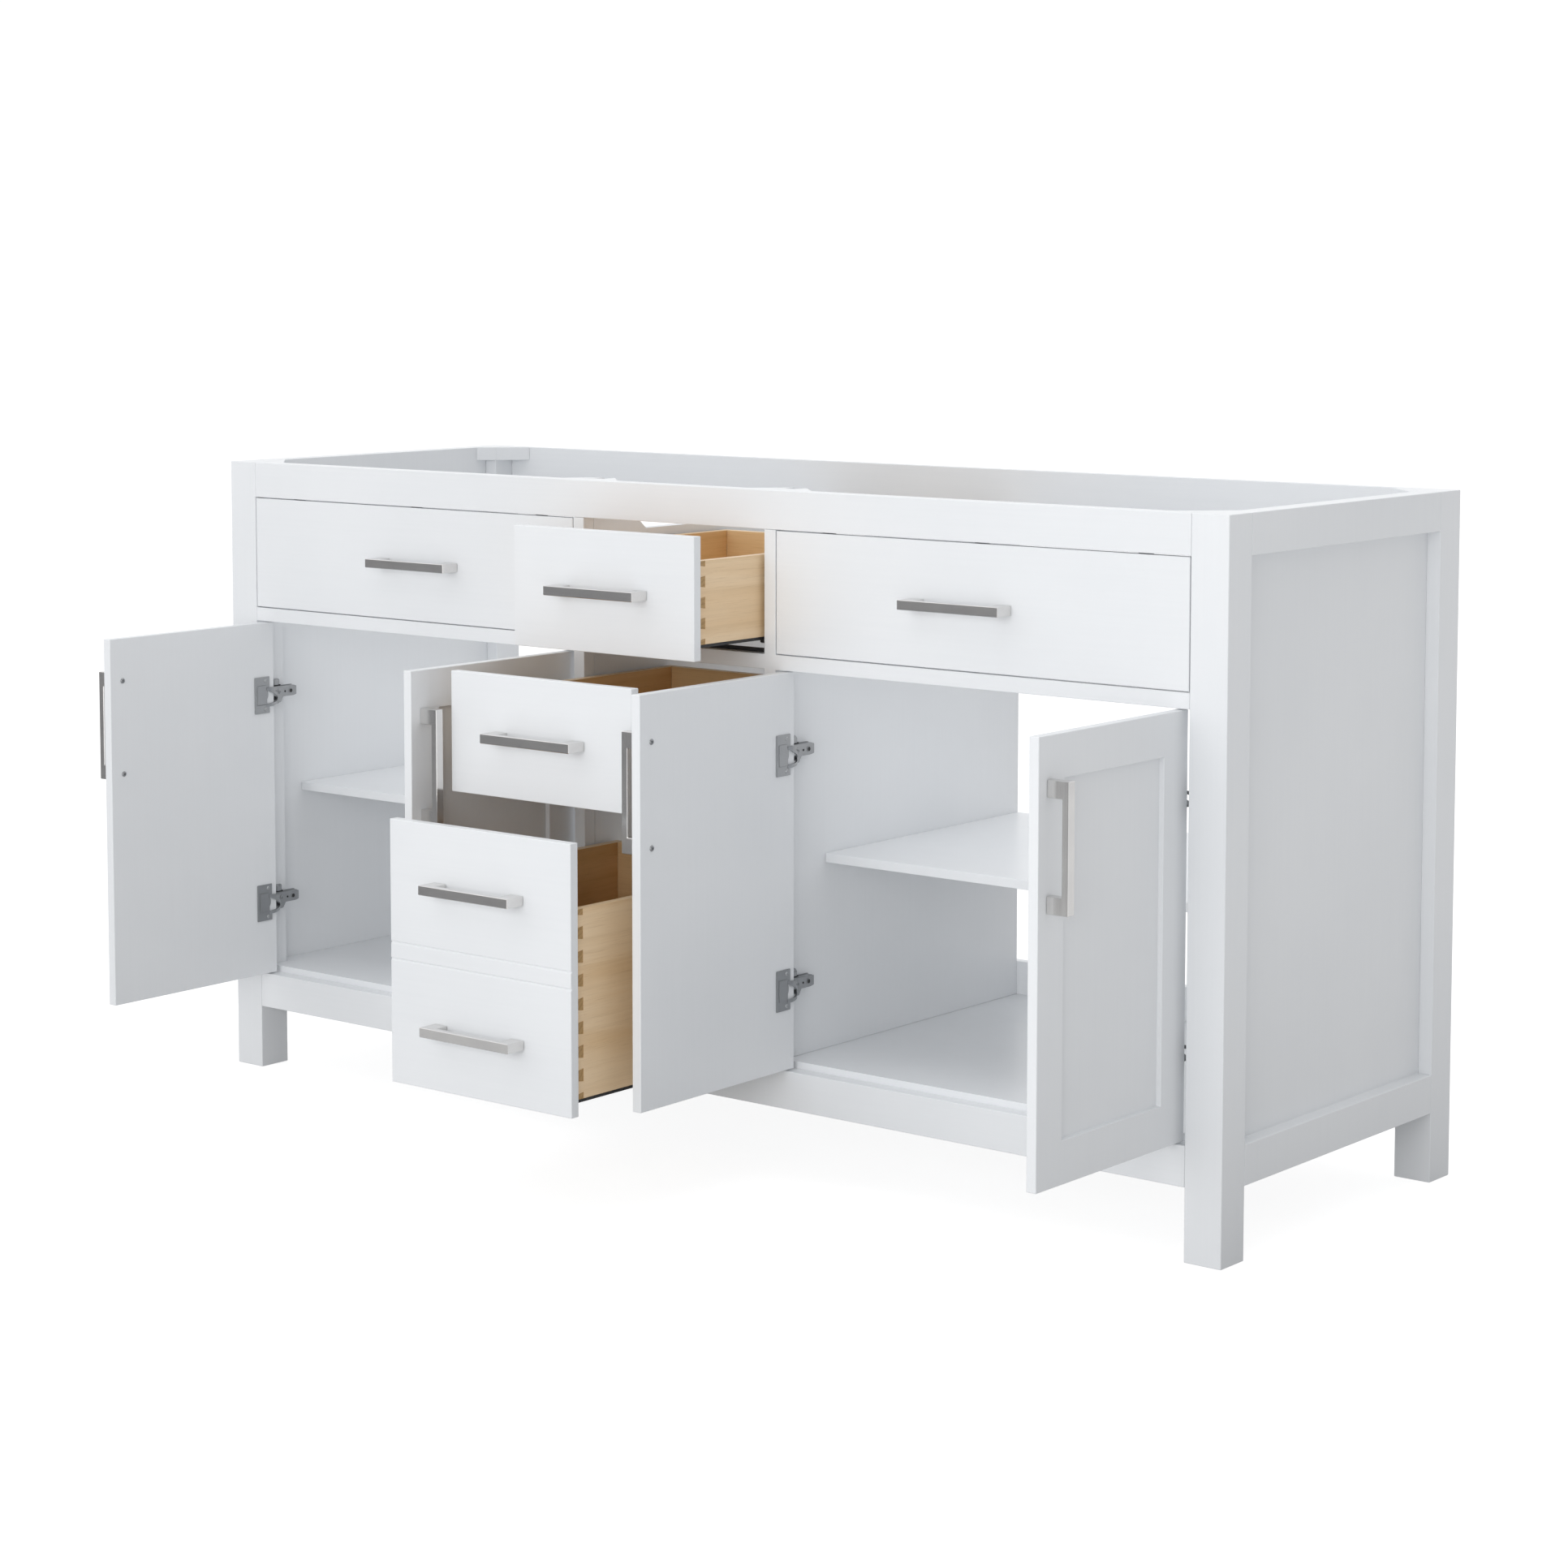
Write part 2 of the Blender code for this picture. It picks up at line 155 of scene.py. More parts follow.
def lacquer(axis, name):
    """Sprayed satin white lacquer: a faint orange peel, with the wood's grain just showing along the board."""
    m = Nodes(name)
    clouds = m.noise(m.stretched((1, 1, 1), (3.1, 0.7, 1.9)), 3.0, 3.0)
    tint = m.ramp(clouds, [(0.30, (0.808, 0.826, 0.846)), (0.72, (0.848, 0.863, 0.880))])
    grain = m.noise(m.stretched(along(axis, 5.0, 260.0)), 1.0, 5.0, 0.6, 0.2)
    shade = m.ramp(grain, [(0.30, (0.988, 0.989, 0.990)), (0.62, (1.0, 1.0, 1.0))])
    m.link(m.mix(1.0, tint, shade, "MULTIPLY"), m.shader.inputs["Base Color"])
    peel = m.noise(m.stretched((1, 1, 1)), 620.0, 2.0)
    sprayed = m.noise(m.stretched((1, 1, 1)), 38.0, 4.0)
    m.link(m.range(sprayed, 0.31, 0.37), m.shader.inputs["Roughness"])
    m.bump([(grain, 0.000006), (peel, 0.000004)])
    m.set(Coat_Weight=0.12, Coat_Roughness=0.18, Specular_IOR_Level=0.45)
    return m.mat


def birch(axis, name, light, dark, offset=(0, 0, 0), end=False):
    """Clear-lacquered birch: long figure and fine pores along the grain, or pale rings and pores on an end."""
    m = Nodes(name)
    if end:
        rings = m.new("TexWave", wave_type="RINGS", rings_direction=axis)
        rings.inputs["Scale"].default_value = 55.0
        rings.inputs["Distortion"].default_value = 5.0
        rings.inputs["Detail"].default_value = 3.0
        rings.inputs["Detail Scale"].default_value = 2.0
        m.link(m.stretched((1, 1, 1), (0.11, 0.07, 0.05)), rings.inputs["Vector"])
        figure = rings.outputs["Fac"]
        pores = m.noise(m.stretched((1, 1, 1)), 900.0, 3.0, 0.7)
    else:
        flow = m.stretched(along(axis, 1.1, 17.0), offset)
        figure = m.noise(flow, 1.0, 4.0, 0.55, 1.1)
        pores = m.noise(m.stretched(along(axis, 22.0, 1100.0), offset), 1.0, 4.0, 0.7)
    middle = tuple((a + b) / 2 for a, b in zip(light, dark))
    colour = m.ramp(figure, [(0.28, dark), (0.46, middle), (0.58, light), (0.74, middle)])
    if not end:
        streak = m.noise(m.stretched(along(axis, 3.2, 150.0), offset), 1.0, 5.0, 0.62, 0.3)
        streak_stops = [(0.34, (0.88, 0.84, 0.78)), (0.50, (1, 1, 1)), (0.70, (1.03, 1.02, 1.0))]
        lines = m.ramp(streak, streak_stops)
        colour = m.mix(0.45, colour, lines, "MULTIPLY")
    speck = m.ramp(pores, [(0.30, (0.74, 0.66, 0.55)), (0.44, (1, 1, 1))])
    colour = m.mix(0.55, colour, speck, "MULTIPLY")
    m.link(colour, m.shader.inputs["Base Color"])
    m.link(m.range(figure, 0.36, 0.50), m.shader.inputs["Roughness"])
    m.bump([(pores, 0.00006), (figure, 0.00005)])
    m.set(Coat_Weight=0.18, Coat_Roughness=0.3, Specular_IOR_Level=0.4)
    return m.mat


def metal(axis, name, colour, rough, streak=0.00001, across=1500.0, spread=0.10):
    """Metal brushed along one axis: fine streaks in its shade, its gloss and its surface."""
    m = Nodes(name)
    lines = m.noise(m.stretched(along(axis, 9.0, across)), 1.0, 4.0, 0.65)
    clouds = m.noise(m.stretched((1, 1, 1)), 26.0, 3.0)
    dull = tuple(0.93 * c for c in colour)
    shade = m.ramp(lines, [(0.30, dull), (0.66, colour)])
    smear = m.ramp(clouds, [(0.30, (0.93, 0.93, 0.94)), (0.65, (1, 1, 1))])
    m.link(m.mix(1.0, shade, smear, "MULTIPLY"), m.shader.inputs["Base Color"])
    m.link(m.range(lines, rough - spread / 2, rough + spread), m.shader.inputs["Roughness"])
    m.bump([(lines, streak)])
    m.set(Metallic=1.0, Anisotropic=0.35)
    return m.mat


def coated(name, colour, rough, metallic=0.0, scale=320.0, depth=0.00004):
    """Powder-coated steel or moulded plastic with a fine pebble; also used near-black as painted shade in
    hollows and gaps.
    """
    m = Nodes(name)
    pebble = m.noise(m.stretched((1, 1, 1)), scale, 3.0, 0.6)
    wide = m.noise(m.stretched((1, 1, 1)), 21.0, 3.0)
    low = tuple(0.78 * c for c in colour)
    m.link(m.ramp(wide, [(0.3, low), (0.7, colour)]), m.shader.inputs["Base Color"])
    m.link(m.range(pebble, rough - 0.06, rough + 0.08), m.shader.inputs["Roughness"])
    m.bump([(pebble, depth)])
    m.set(Metallic=metallic)
    return m.mat


LACQUER = {axis: lacquer(axis, f"white_lacquer_{axis.lower()}") for axis in "XYZ"}
BIRCH_LIGHT = (0.870, 0.665, 0.435)
BIRCH_DARK = (0.780, 0.545, 0.305)
BIRCH_SIDE = birch("Y", "birch_along_y", BIRCH_LIGHT, BIRCH_DARK, (0.3, 0.2, 0.9))
BIRCH_CROSS = birch("X", "birch_along_x", BIRCH_LIGHT, BIRCH_DARK, (1.3, 0.6, 0.4))
# Painted shade: the drawer boxes' inner faces take darker, more amber copies of the birch.
BIRCH_INNER_SHADED = birch("Y", "birch_inner_painted_shade_y", (0.76, 0.47, 0.21), (0.64, 0.37, 0.14), (2.3, 0.2, 0.9))
BIRCH_INNER_X_SHADED = birch("X", "birch_inner_painted_shade_x", (0.86, 0.61, 0.34), (0.78, 0.53, 0.27), (2.9, 1.2, 0.1))
BIRCH_BASE = birch("Y", "birch_base", (0.80, 0.74, 0.66), (0.74, 0.67, 0.58), (0.7, 1.9, 0.3))
BIRCH_END = birch("X", "birch_end_grain", (0.540, 0.345, 0.150), (0.400, 0.240, 0.090), end=True)
NICKEL_COLOUR = (0.78, 0.77, 0.755)
NICKEL = {
    axis: metal(axis, f"brushed_nickel_{axis.lower()}", NICKEL_COLOUR, 0.20, 0.000002, 1500.0, 0.05)
    for axis in "XZ"
}
HINGE_STEEL = metal("Y", "hinge_steel", (0.40, 0.41, 0.42), 0.32, 0.000004, 700.0)
ZINC = metal("Y", "zinc_steel", (0.56, 0.57, 0.58), 0.36, 0.000004, 500.0)
TRACK_STEEL = metal("Y", "track_steel", (0.27, 0.275, 0.28), 0.38, 0.000004, 500.0)
BLACK_STEEL = coated("black_coated_steel", (0.035, 0.035, 0.037), 0.42, 0.3)
# Black plastic for the slides' latches and stops; the same black is also painted shade in the hinge arm's hole
# and along the drawer rail.
BLACK_PLASTIC_AND_SHADE = coated("black_plastic_and_painted_shade", (0.022, 0.022, 0.023), 0.46)
# Painted shade: a near-black material for the hinge arm's slot and hole, standing in for their dark hollows.
RECESS_SHADE = coated("recess_painted_shade", (0.05, 0.05, 0.052), 0.55, 0.6)


# ---------------------------------------------------------------- geometry
def screw_template():
    """A pan head along +Z with its underside at z = 0 and a cross recess, 8 mm across, as points and faces."""
    head = bpy.data.meshes.new("head")
    bm = bmesh.new()
    profile = [(0.0, 1.9), (1.6, 1.85), (2.8, 1.55), (3.6, 0.9), (3.9, 0.35), (3.9, 0.0), (0.0, 0.0)]
    turns = 28
    loops = []
    for r, z in profile:
        if r == 0:
            loops.append([bm.verts.new((0, 0, z * MM))])
            continue
        angles = [2 * math.pi * i / turns for i in range(turns)]
        loops.append([bm.verts.new((r * MM * math.cos(a), r * MM * math.sin(a), z * MM)) for a in angles])
    for a, b in zip(loops, loops[1:]):
        for i in range(turns):
            j = (i + 1) % turns
            corners = [a[i % len(a)], a[j % len(a)], b[j % len(b)], b[i % len(b)]]
            bm.faces.new([v for k, v in enumerate(corners) if v not in corners[:k]])
    bmesh.ops.recalc_face_normals(bm, faces=bm.faces)
    bm.to_mesh(head)
    bm.free()
    blank = bpy.data.objects.new("head", head)
    bpy.context.scene.collection.objects.link(blank)
    blades = []
    for turn in (0, 90):
        blade = bpy.data.meshes.new("blade")
        bm = bmesh.new()
        bmesh.ops.create_cube(bm, size=1.0)
        bmesh.ops.scale(bm, vec=(4.2 * MM, 0.85 * MM, 3.0 * MM), verts=bm.verts)
        bmesh.ops.translate(bm, vec=(0, 0, 2.3 * MM), verts=bm.verts)
        bmesh.ops.rotate(bm, matrix=Matrix.Rotation(math.radians(turn), 3, "Z"), verts=bm.verts)
        bm.to_mesh(blade)
        bm.free()
        obj = bpy.data.objects.new(f"blade_{turn}", blade)
        bpy.context.scene.collection.objects.link(obj)
        cut = blank.modifiers.new("cut", "BOOLEAN")
        cut.operation = "DIFFERENCE"
        cut.object = obj
        blades.append(obj)
    bpy.context.view_layer.update()
    made = bpy.data.meshes.new_from_object(blank.evaluated_get(bpy.context.evaluated_depsgraph_get()))
    for obj in [blank, *blades]:
        bpy.data.objects.remove(obj)
    return made


SCREW = screw_template()


class Build:
    """One piece made of several shapes, each with its own material."""

    def __init__(self, place=None):
        self.bm = bmesh.new()
        self.mats = []
        self.place = place or (lambda p: p)

    def _index(self, mat):
        if mat not in self.mats:
            self.mats.append(mat)
        return self.mats.index(mat)

    def _merge(self, part, mat, edge=0.0, segments=2, faces_mat=None):
        bmesh.ops.recalc_face_normals(part, faces=part.faces)
        index = self._index(mat)
        for face in part.faces:
            face.material_index = index
        if faces_mat:
            for test, other in faces_mat:
                for face in part.faces:
                    if test(face):
                        face.material_index = self._index(other)
        if edge:
            bmesh.ops.bevel(
                part, geom=list(part.edges), offset=edge, segments=segments, affect="EDGES", clamp_overlap=True
            )
        for vert in part.verts:
            vert.co = Vector(self.place(vert.co))
        bmesh.ops.recalc_face_normals(part, faces=part.faces)
        mesh = bpy.data.meshes.new("part")
        part.to_mesh(mesh)
        part.free()
        self.bm.from_mesh(mesh)
        bpy.data.meshes.remove(mesh)

    def box(self, lo, hi, mat, edge=0.0004, segments=2, faces_mat=None):
        part = bmesh.new()
        bmesh.ops.create_cube(part, size=1.0)
        lo, hi = Vector(lo), Vector(hi)
        bmesh.ops.scale(part, vec=hi - lo, verts=part.verts)
        bmesh.ops.translate(part, vec=(lo + hi) / 2, verts=part.verts)
        self._merge(part, mat, edge, segments, faces_mat)

    def prism(self, points, axis, low, high, mat, edge=0.0004, segments=2, faces_mat=None):
        """A flat outline in the two other axes, in X, Y, Z order, run along axis from low to high."""
        part = bmesh.new()
        k = "XYZ".index(axis)

        def at(p, level):
            spot = list(p)
            spot.insert(k, level)
            return part.verts.new(spot)

        bottom = [at(p, low) for p in points]
        top = [at(p, high) for p in points]
        count = len(points)
        part.faces.new(bottom)
        part.faces.new(top[::-1])
        for i in range(count):
            j = (i + 1) % count
            part.faces.new((bottom[i], bottom[j], top[j], top[i]))
        self._merge(part, mat, edge, segments, faces_mat)

    def rod(self, centre, axis, r, low, high, mat, edge=0.0003, sides=28):
        part = bmesh.new()
        bmesh.ops.create_cone(part, cap_ends=True, segments=sides, radius1=r, radius2=r, depth=high - low)
        bmesh.ops.translate(part, vec=(0, 0, (low + high) / 2), verts=part.verts)
        if edge:
            rims = [e for e in part.edges if abs(e.verts[0].co.z - e.verts[1].co.z) < 1e-9]
            bmesh.ops.bevel(part, geom=rims, offset=edge, segments=2, affect="EDGES", clamp_overlap=True)
        turns = {"X": Matrix.Rotation(math.pi / 2, 3, "Y"), "Y": Matrix.Rotation(-math.pi / 2, 3, "X")}
        turn = turns.get(axis)
        if turn:
            bmesh.ops.rotate(part, matrix=turn, verts=part.verts)
        bmesh.ops.translate(part, vec=centre, verts=part.verts)
        self._merge(part, mat)

    def screw(self, centre, direction, mat, scale=1.0, roll=0.4):
        part = bmesh.new()
        part.from_mesh(SCREW)
        turn = Vector((0, 0, 1)).rotation_difference(Vector(direction)).to_matrix().to_4x4()
        move = Matrix.Translation(centre) @ turn @ Matrix.Rotation(roll, 4, "Z") @ Matrix.Scale(scale, 4)
        bmesh.ops.transform(part, matrix=move, verts=part.verts)
        self._merge(part, mat)

    def done(self, name, body=None, stands_for=(), smooth=35):
        mesh = bpy.data.meshes.new(name)
        self.bm.to_mesh(mesh)
        self.bm.free()
        for mat in self.mats:
            mesh.materials.append(mat)
        obj = bpy.data.objects.new(name, mesh)
        bpy.context.scene.collection.objects.link(obj)
        mesh.shade_smooth()
        mesh.set_sharp_from_angle(angle=math.radians(smooth))
        if body:
            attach(obj, body)
        if stands_for:
            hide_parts(*stands_for)
        return obj


def paint(node, mat):
    mesh = NODES[node].data
    mesh.materials.clear()
    mesh.materials.append(mat)


# ---------------------------------------------------------------- the painted boards and fronts
AXES = {
    "front_top_rail": "X",
    "front_bottom_rail": "X",
    "front_frame": "X",
    "rear_top_rail": "X",
    "rear_bottom_rail": "X",
    "floor_panel": "X",
    "shelf_left": "X",
    "shelf_right": "X",
    "false_front_left": "X",
    "false_front_right": "X",
    "drawer_top_front": "X",
    "drawer_middle_front": "X",
    "drawer_bottom_front": "X",
}
for node in NODES:
    if node.startswith("handle_"):
        paint(node, NICKEL["Z" if "_door_" in node else "X"])
    elif not node.startswith(("hinge_", "slide_")) and not node.endswith("_box"):
        paint(node, LACQUER[AXES.get(node, "Z")])

REAR_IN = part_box("rear_top_rail")[0].y
RAIL_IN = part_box("front_top_rail")[1].y
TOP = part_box("post_front_left")[1].z
POST_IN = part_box("post_front_right")[0].x
SIDE_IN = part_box("side_right")[0].x
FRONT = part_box("post_front_left")[0].y


# ---------------------------------------------------------------- drawer boxes
WALL = 12 * MM


PIN_PITCH = 27.5 * MM


def pin_spots(low, high):
    """Each pin's lower and upper height at a corner, first at the board's end and then at the pin's base.

    There are half pins at both ends and full ones between."""
    count = round((high - low) / PIN_PITCH)
    pitch = (high - low) / count
    spots = []
    for i in range(count + 1):
        middle = low + i * pitch
        tip, base = 0.21 * pitch, 0.27 * pitch
        spots.append(
            (
                max(low, middle - tip),
                min(high, middle + tip),
                max(low, middle - base),
                min(high, middle + base),
            )
        )
    return spots


def side_outline(y0, y1, z0, z1):
    """A side board's outline in Y and Z, with a notch for each pin at both ends."""
    slack = 0.10 * MM
    front, rear = [], []
    for tip0, tip1, base0, base1 in pin_spots(z0, z1):
        low_end, high_end = base0 <= z0, base1 >= z1
        steps = []
        if low_end:
            steps = [(WALL + slack, z0), (WALL + slack, base1 + slack), (0.0, tip1 + slack)]
        elif high_end:
            steps = [(0.0, tip0 - slack), (WALL + slack, base0 - slack), (WALL + slack, z1)]
        else:
            steps = [
                (0.0, tip0 - slack),
                (WALL + slack, base0 - slack),
                (WALL + slack, base1 + slack),
                (0.0, tip1 + slack),
            ]
        front += [(y0 + d, z) for d, z in steps]
        rear += [(y1 - d, z) for d, z in steps]
    return front + rear[::-1]


def drawer_box(name):
    body = f"drawer_{name}_body"
    lo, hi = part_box(f"drawer_{name}_box")
    y0, y1, z0, z1 = lo.y, hi.y, lo.z, hi.z
    half = hi.x
    b = Build()
    for s in (-1, 1):
        inner = s * (half - WALL)
        x = sorted((inner, s * half))

        # The side's inner face takes the painted-shade birch.
        def faces_in(face, inner=inner):
            return abs(face.calc_center_median().x - inner) < 1e-5

        b.prism(
            side_outline(y0, y1, z0, z1), "X", x[0], x[1], BIRCH_SIDE, 0.35 * MM, 2, [(faces_in, BIRCH_INNER_SHADED)]
        )
    for y, end in ((y0, y0 + WALL), (y1, y1 - WALL)):
        ys = sorted((y, end))

        # The end's inner face takes the painted-shade birch.
        def looks_in(face, end=end):
            return abs(face.calc_center_median().y - end) < 1e-5

        gap = 0.08 * MM
        b.box(
            (-half + WALL + gap, ys[0], z0),
            (half - WALL - gap, ys[1], z1),
            BIRCH_CROSS,
            0.35 * MM,
            2,
            [(looks_in, BIRCH_INNER_X_SHADED)],
        )
        for tip0, tip1, base0, base1 in pin_spots(z0, z1):
            for s in (-1, 1):
                x = sorted((s * (half - WALL), s * (half - 0.06 * MM)))
                outline = [(y, tip0), (end, base0), (end, base1), (y, tip1)]

                def is_end(face):
                    return abs(face.normal.x) > 0.9

                b.prism(outline, "X", x[0], x[1], BIRCH_CROSS, 0.0, 2, [(is_end, BIRCH_END)])
    b.box(
        (-half + WALL - 0.2 * MM, y0 + WALL - 0.2 * MM, z0 + 6 * MM),
        (half - WALL + 0.2 * MM, y1 - WALL + 0.2 * MM, z0 + 11.5 * MM),
        BIRCH_BASE,
        0.0,
    )
    b.done(f"drawer_{name}_dovetailed_box", body, [f"drawer_{name}_box"])

    # The moving slide members: a channel under each side and a latch at its front.
    m = Build()
    for s in (-1, 1):
        x = sorted((s * 127.5 * MM, s * 146.3 * MM))
        under = z0 - 0.1 * MM
        m.box((x[0], y0 + 2 * MM, under - 3.9 * MM), (x[1], y1 - 6 * MM, under), BLACK_STEEL, 0.5 * MM)
        x = sorted((s * 110 * MM, s * 126 * MM))
        m.prism(
            [
                (y0 + 3 * MM, under - 0.2 * MM),
                (y0 + 3 * MM, under - 7.5 * MM),
                (y0 + 18 * MM, under - 8.5 * MM),
                (y0 + 40 * MM, under - 4.5 * MM),
                (y0 + 40 * MM, under - 0.2 * MM),
            ],
            "X",
            x[0],
            x[1],
            BLACK_PLASTIC_AND_SHADE,
            0.7 * MM,
        )
    m.done(f"drawer_{name}_slide_members", body)


for drawer in ("top", "middle", "bottom"):
    drawer_box(drawer)


def fixed_slide(node):
    """A pressed angle on the partition with a raised track, fixing screws and a black front stop."""
    lo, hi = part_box(node)
    s = 1 if lo.x > 0 else -1
    wall = hi.x if s > 0 else lo.x
    b = Build(lambda p: (wall - s * p.x, lo.y + p.y, lo.z + p.z))
    length = hi.y - lo.y
    outline = [(0, 0), (24, 0), (24, 3.4), (22.6, 3.4), (22.6, 1.5), (1.5, 1.5), (1.5, 14.8), (0, 14.8)]
    b.prism([(x * MM, z * MM) for x, z in outline], "Y", 12 * MM, length, TRACK_STEEL, 0.25 * MM)
    b.box((12.0 * MM, 16 * MM, 1.6 * MM), (20.5 * MM, length - 8 * MM, 5.4 * MM), BLACK_STEEL, 0.8 * MM)
    b.box((0.2 * MM, 0, 0.2 * MM), (4.2 * MM, 15 * MM, 14.6 * MM), BLACK_PLASTIC_AND_SHADE, 0.8 * MM)
    b.box((4.0 * MM, 0, 0.2 * MM), (9.6 * MM, 15 * MM, 6.6 * MM), BLACK_PLASTIC_AND_SHADE, 0.8 * MM)
    b.box((11.4 * MM, 0, 0.2 * MM), (24.6 * MM, 17 * MM, 6.7 * MM), BLACK_PLASTIC_AND_SHADE, 1.0 * MM)
    for y in (34 * MM, 150 * MM, 300 * MM, length - 24 * MM):
        b.screw((1.4 * MM, y, 9.0 * MM), (1, 0, 0), ZINC, 0.8, y * 30)
    b.done(f"{node}_channel", ROOT, [node])


for node in sorted(NODES):
    if node.startswith("slide_"):
        fixed_slide(node)

# ---------------------------------------------------------------- hinges
AXIS = {j["child"]: j for j in frame["joints"] if j["type"] == "hinge"}
REST = {"left_outer": 90.0, "left_inner": 89.0, "right_inner": 89.0, "right_outer": 90.0}


AXIS_TO_WALL = 10.5 * MM
LEG_SECTION = ((1.0, 2.1), (-1.0, 2.1), (-1.0, -2.1), (1.0, -2.1))


def hinge(door, place):
    """One concealed hinge: the arm on the cabinet, the cup's plate on the door, and the links between."""
    name = f"hinge_{door}_{place}"
    body = f"door_{door}_body"
    joint = AXIS[body]
    pivot = Vector(joint["pos_m"])
    lo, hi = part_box(f"{name}_arm")
    middle = (lo.z + hi.z) / 2
    s = 1 if joint["axis"][2] < 0 else -1
    wall = pivot.x - s * AXIS_TO_WALL
    turn = Matrix.Rotation(-s * math.radians(REST[door]), 3, "Z")

    # On the cabinet: x counts away from the wall, y back from the front face, z from the hinge's middle.
    def fixed(p):
        return (wall + s * p[0], FRONT + p[1], middle + p[2])

    a = Build(lambda p: fixed((p.x, p.y, p.z)))
    upper = [(66, 6), (64, 8), (40, 8), (40, 16.5), (38, 18), (28, 18), (26, 16.5), (26, 8), (21, 7)]
    plate = [(y, -z) for y, z in upper[::-1]] + upper
    a.prism([(y * MM, z * MM) for y, z in plate], "X", 0.1 * MM, 2.2 * MM, HINGE_STEEL, 0.3 * MM)
    # The arm is a pressed channel: two cheeks and a web, spreading downwards at its front.
    cheek = [(19, -16), (34, -15), (39, -7.2), (58, -7.2), (64.5, -6), (64.5, 6.4), (58, 7.6), (19, 8.6)]
    a.prism([(y * MM, z * MM) for y, z in cheek], "X", 9.4 * MM, 11.8 * MM, HINGE_STEEL, 0.6 * MM, 3)
    a.box((2.2 * MM, 27 * MM, -7.0 * MM), (9.6 * MM, 63 * MM, -5.6 * MM), HINGE_STEEL, 0.3 * MM)
    a.box((2.2 * MM, 27 * MM, 5.8 * MM), (9.6 * MM, 63 * MM, 7.2 * MM), HINGE_STEEL, 0.3 * MM)
    a.box((2.2 * MM, 20 * MM, -13.5 * MM), (9.6 * MM, 34 * MM, -5.8 * MM), HINGE_STEEL, 0.5 * MM)
    a.box((2.4 * MM, 22 * MM, 10.4 * MM), (11.0 * MM, 31 * MM, 17.6 * MM), HINGE_STEEL, 0.7 * MM, 3)
    # Painted shade: a dark strip in the slot under the adjusting block.
    a.box((2.4 * MM, 23 * MM, 8.4 * MM), (9.0 * MM, 36 * MM, 10.6 * MM), RECESS_SHADE, 0.2 * MM)
    # A steel ring with a black disc in it; the disc is painted shade for the arm's hole.
    a.rod((11.6 * MM, 53 * MM, 0.2 * MM), "X", 4.0 * MM, 0.0, 0.7 * MM, HINGE_STEEL, 0.3 * MM)
    a.rod((11.6 * MM, 53 * MM, 0.2 * MM), "X", 2.7 * MM, 0.0, 0.85 * MM, BLACK_PLASTIC_AND_SHADE, 0.0)
    a.screw((11.7 * MM, 31 * MM, 0.2 * MM), (1, 0, 0), HINGE_STEEL, 0.7, 0.9)
    # Painted shade: a dark dot for a small hole in the arm.
    a.rod((11.7 * MM, 42 * MM, 0.0), "X", 1.5 * MM, 0.0, 0.35 * MM, RECESS_SHADE, 0.0, 20)
    a.rod((11.0 * MM, 22.0 * MM, -11.8 * MM), "X", 2.1 * MM, -8 * MM, 1.4 * MM, HINGE_STEEL, 0.3 * MM, 20)
    a.screw((2.1 * MM, 33 * MM, -13.4 * MM), (1, 0, 0), HINGE_STEEL, 0.62, 0.2)
    a.done(f"{name}_arm_assembly", ROOT, [f"{name}_arm"])

    # On the door, built shut: x from the pivot towards the door's free edge, y back from the pivot.
    def swung(p):
        flat = turn @ Vector((s * p[0], p[1], 0))
        return (pivot.x + flat.x, pivot.y + flat.y, middle + p[2])

    c = Build(lambda p: swung((p.x, p.y, p.z)))
    face = 11.1
    cup = [(0.4, -26), (28.2, -26), (28.2, 26), (0.4, 26), (0.4, 12.0), (2.2, 10.2), (5.2, 9.4)]
    cup += [(5.2, -12.4), (2.2, -13.2), (0.4, -15.0)]
    c.prism([(x * MM, z * MM) for x, z in cup], "Y", face * MM, (face + 1.7) * MM, HINGE_STEEL, 0.45 * MM, 3)
    raised = ((7.2 * MM, (face + 1.2) * MM, -14 * MM), (24.5 * MM, (face + 2.4) * MM, 14 * MM))
    c.box(*raised, HINGE_STEEL, 1.1 * MM, 3)
    c.rod((13.5 * MM, 0, 0), "Y", 11.5 * MM, 2.2 * MM, (face + 0.4) * MM, HINGE_STEEL, 0.3 * MM, 40)
    for z in (-20.5, 20.5):
        c.screw((8.5 * MM, (face + 1.65) * MM, z * MM), (0, 1, 0), ZINC, 0.66, 0.3 + z)
    c.done(f"{name}_cup_assembly", body, [f"{name}_cup"])

